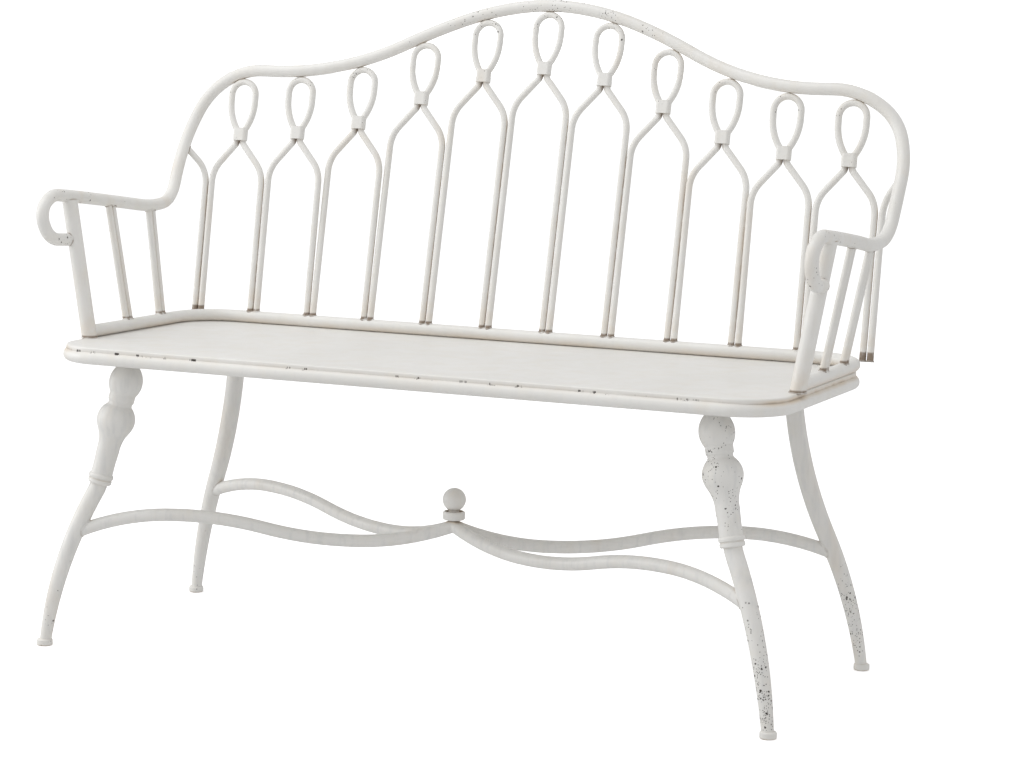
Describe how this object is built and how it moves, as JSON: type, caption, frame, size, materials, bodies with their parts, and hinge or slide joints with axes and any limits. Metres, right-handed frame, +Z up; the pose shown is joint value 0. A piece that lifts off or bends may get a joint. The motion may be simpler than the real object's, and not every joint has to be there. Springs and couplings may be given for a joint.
{
  "type": "garden bench",
  "caption": "Two-seat garden bench in painted steel tube: sheet seat, camel-back rail with teardrop hairpin loops, scrolled arms, turned front legs and crossed stretchers with a ball finial.",
  "frame": {"origin": "on the ground under the middle of the bench's overall box", "axes": "+Z up, +X along the seat to the right as seen from the front, +Y to the back"},
  "size_m": [1.2, 0.5632, 0.9701],
  "materials": {
    "cream_paint": "satin antique off-white paint, lightly rubbed and chipped",
    "zinc_steel": "zinc plated"
  },
  "bodies": {
    "root": {"arm_post_left": "cream_paint", "arm_post_right": "cream_paint", "arm_spindles_front_left": "cream_paint", "arm_spindles_front_right": "cream_paint", "arm_spindles_rear_left": "cream_paint", "arm_spindles_rear_right": "cream_paint", "back_leg_left": "cream_paint", "back_leg_right": "cream_paint", "back_loop_01": "cream_paint", "back_loop_02": "cream_paint", "back_loop_03": "cream_paint", "back_loop_04": "cream_paint", "back_loop_05": "cream_paint", "back_loop_06": "cream_paint", "back_loop_07": "cream_paint", "back_loop_08": "cream_paint", "back_loop_09": "cream_paint", "back_loop_10": "cream_paint", "back_loop_11": "cream_paint", "end_rod_left": "cream_paint", "end_rod_right": "cream_paint", "finial_ball": "cream_paint", "finial_stud": "zinc_steel", "foot_back_left": "cream_paint", "foot_back_right": "cream_paint", "foot_front_left": "cream_paint", "foot_front_right": "cream_paint", "front_leg_left": "cream_paint", "front_leg_right": "cream_paint", "hub_cap": "cream_paint", "leg_bearer_left": "cream_paint", "leg_bearer_right": "cream_paint", "leg_bolts": "zinc_steel", "leg_collar_left": "cream_paint", "leg_collar_right": "cream_paint", "loop_collar_01": "cream_paint", "loop_collar_02": "cream_paint", "loop_collar_03": "cream_paint", "loop_collar_04": "cream_paint", "loop_collar_05": "cream_paint", "loop_collar_06": "cream_paint", "loop_collar_07": "cream_paint", "loop_collar_08": "cream_paint", "loop_collar_09": "cream_paint", "loop_collar_10": "cream_paint", "loop_collar_11": "cream_paint", "seat_frame": "cream_paint", "seat_panel": "cream_paint", "seat_stiffeners": "cream_paint", "stretcher_back_left": "cream_paint", "stretcher_back_right": "cream_paint", "stretcher_front_left": "cream_paint", "stretcher_front_right": "cream_paint", "top_rail": "cream_paint", "turned_leg_left": "cream_paint", "turned_leg_right": "cream_paint", "upper_rail": "cream_paint"}
  },
  "joints": []
}
